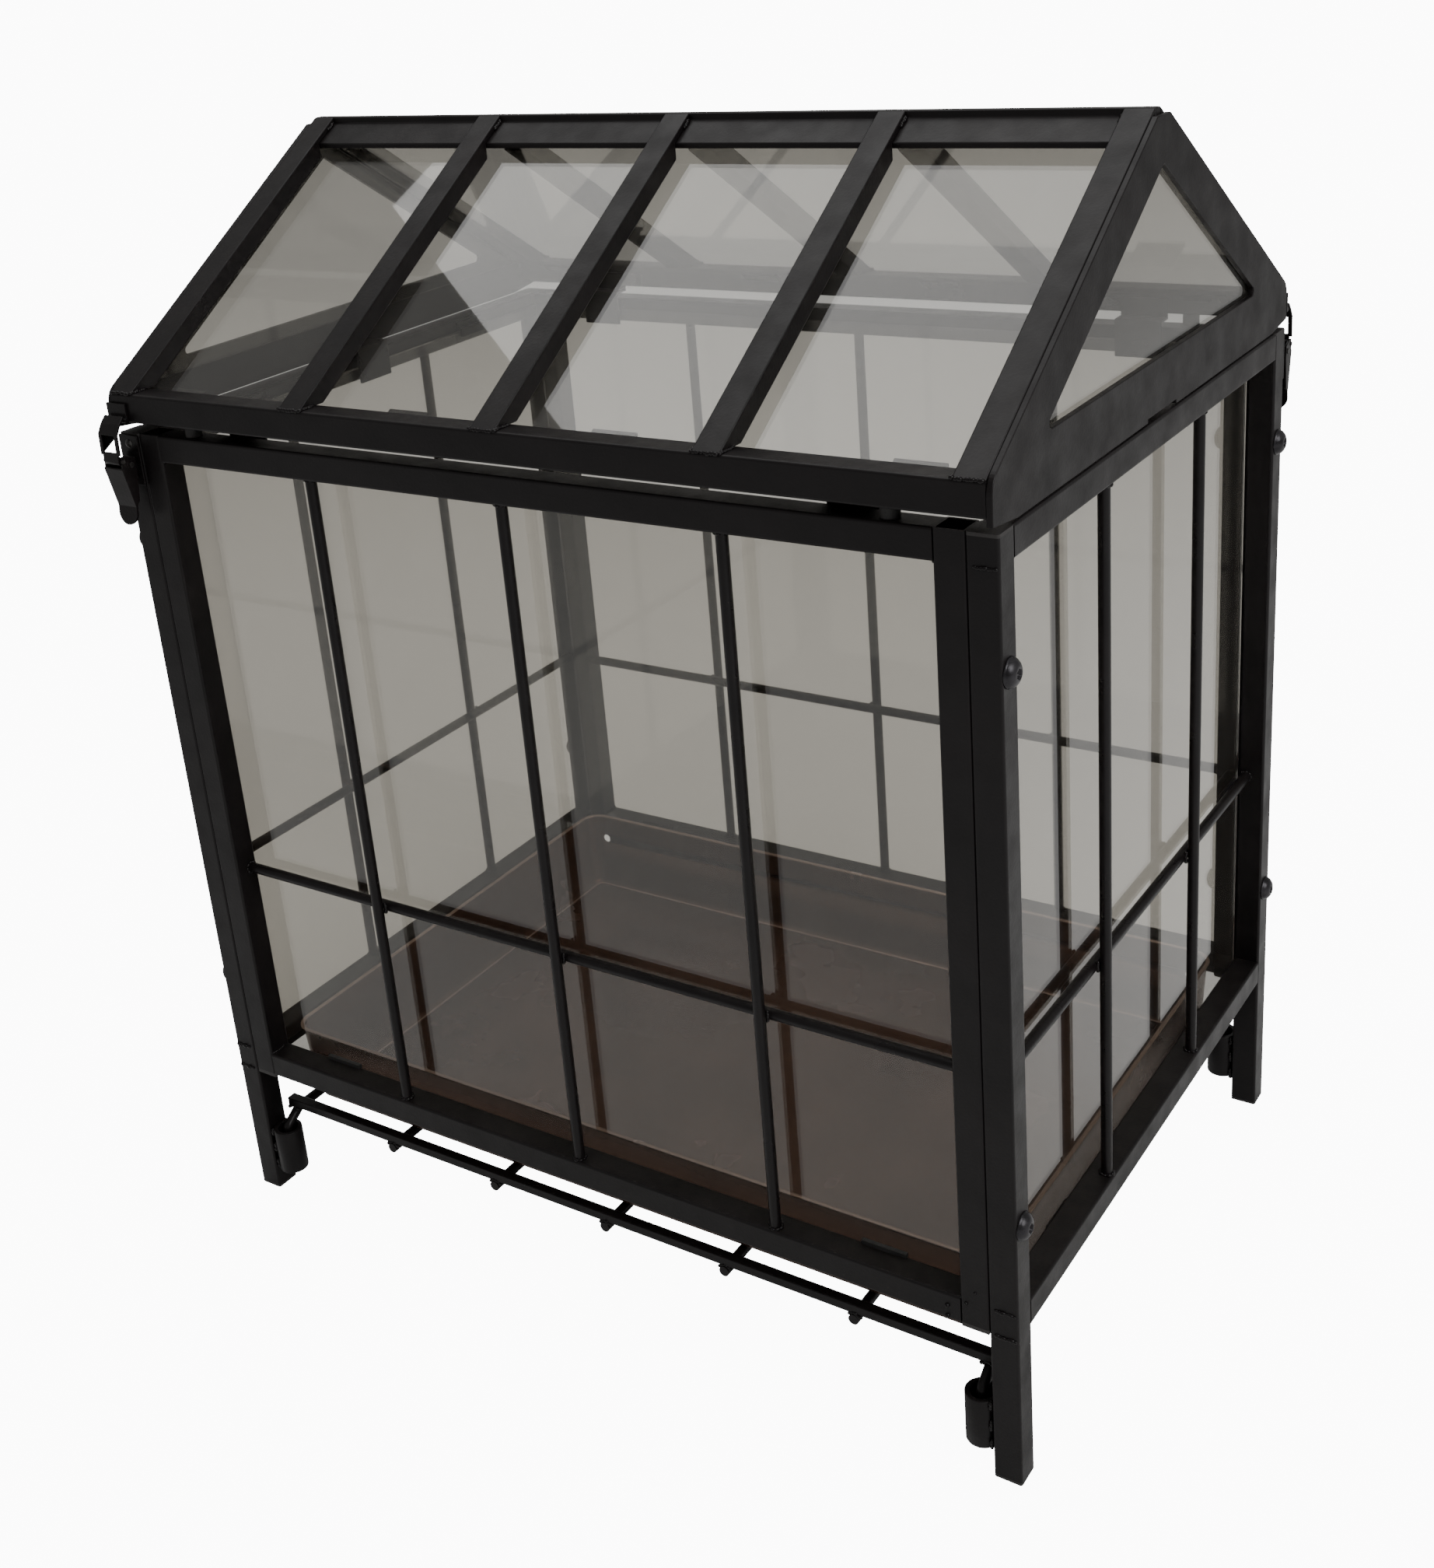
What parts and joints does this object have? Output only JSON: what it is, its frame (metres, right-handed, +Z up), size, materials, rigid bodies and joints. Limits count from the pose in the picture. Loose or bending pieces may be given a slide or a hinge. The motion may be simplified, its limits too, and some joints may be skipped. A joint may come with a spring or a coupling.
{
  "type": "cold frame",
  "caption": "House-shaped glazed growing cabinet on legs: black steel frame, glass walls, a lift-off gabled lid held by draw latches, and a drip tray on a rod rack below.",
  "frame": {"origin": "on the floor below the middle of the cabinet, bottom centre of the bounding box", "axes": "+Z up, -Y towards the front, the long side with the latch on its left leg, +X to the right seen from the front; the ridge runs along X"},
  "size_m": [0.5286, 0.3986, 0.635],
  "materials": {
    "frame_steel": "satin black powder coat",
    "glass": "clear float glass",
    "plug_plastic": "moulded matt",
    "rubber": "matt",
    "tray_bronze": "glossy bronze-brown enamel",
    "bolt_black": "black oxide, slight shine",
    "pin_steel": "plain"
  },
  "bodies": {
    "frame": {"frame_bolts": "bolt_black", "front_bottom_rail": "frame_steel", "front_stile_left": "frame_steel", "front_stile_right": "frame_steel", "front_top_rail": "frame_steel", "glazing_blocks": "rubber", "latch_bases": "frame_steel", "latch_pivot_pins": "pin_steel", "latch_rivets": "pin_steel", "leg_feet": "plug_plastic", "leg_front_left": "frame_steel", "leg_front_right": "frame_steel", "leg_rear_left": "frame_steel", "leg_rear_right": "frame_steel", "pane_clips": "frame_steel", "pane_front": "glass", "pane_left": "glass", "pane_rear": "glass", "pane_right": "glass", "panel_bars": "frame_steel", "panel_cross_bars": "frame_steel", "rack_sockets": "frame_steel", "rear_bottom_rail": "frame_steel", "rear_stile_left": "frame_steel", "rear_stile_right": "frame_steel", "rear_top_rail": "frame_steel", "rivet_nuts": "pin_steel", "side_bars": "frame_steel", "side_bottom_rail_left": "frame_steel", "side_bottom_rail_right": "frame_steel", "side_cross_bars": "frame_steel", "side_top_rail_left": "frame_steel", "side_top_rail_right": "frame_steel", "stile_plugs": "plug_plastic", "top_plugs": "plug_plastic"},
    "lid": {"gable_left": "frame_steel", "gable_right": "frame_steel", "eave_rail_front": "frame_steel", "eave_rail_rear": "frame_steel", "ridge_rail": "frame_steel", "rafters_front": "frame_steel", "rafters_rear": "frame_steel", "roof_pane_front": "glass", "roof_pane_rear": "glass", "gable_panes": "glass", "lid_pane_clips": "frame_steel", "lid_tabs": "frame_steel", "lid_screws": "bolt_black", "lid_rests": "rubber", "latch_keepers": "frame_steel"},
    "rack": {"rack_bars": "frame_steel", "rack_rods": "frame_steel", "rack_end_rods": "frame_steel"},
    "tray": {"tray": "tray_bronze"},
    "front_lever": {"latch_lever_front": "frame_steel", "latch_strap_pin_front": "pin_steel"},
    "front_strap": {"latch_strap_front": "frame_steel"},
    "rear_lever": {"latch_lever_rear": "frame_steel", "latch_strap_pin_rear": "pin_steel"},
    "rear_strap": {"latch_strap_rear": "frame_steel"}
  },
  "joints": [
    {"name": "lid_lift", "type": "slide", "parent": "frame", "child": "lid", "axis": [0, 0, 1], "range_m": [0, 0.12]},
    {"name": "front_latch", "type": "hinge", "parent": "frame", "child": "front_lever", "pos_m": [-0.2525, -0.192, 0.478], "axis": [-1, 0, 0], "range_deg": [0, 90]},
    {"name": "front_strap_swing", "type": "hinge", "parent": "front_lever", "child": "front_strap", "pos_m": [-0.2525, -0.197, 0.481], "axis": [-1, 0, 0], "range_deg": [-112.5, 0]},
    {"name": "rear_latch", "type": "hinge", "parent": "frame", "child": "rear_lever", "pos_m": [0.2525, 0.192, 0.478], "axis": [1, 0, 0], "range_deg": [0, 90]},
    {"name": "rear_strap_swing", "type": "hinge", "parent": "rear_lever", "child": "rear_strap", "pos_m": [0.2525, 0.197, 0.481], "axis": [1, 0, 0], "range_deg": [-112.5, 0]},
    {"name": "rack_lift", "type": "slide", "parent": "frame", "child": "rack", "axis": [0, 0, 1], "range_m": [0, 0.024]},
    {"name": "tray_lift", "type": "slide", "parent": "rack", "child": "tray", "axis": [0, 0, 1], "range_m": [0, 0.2]}
  ],
  "couplings": [
    {"joint": "front_strap_swing", "follows": "front_latch", "ratio": -1.25},
    {"joint": "rear_strap_swing", "follows": "rear_latch", "ratio": -1.25}
  ]
}
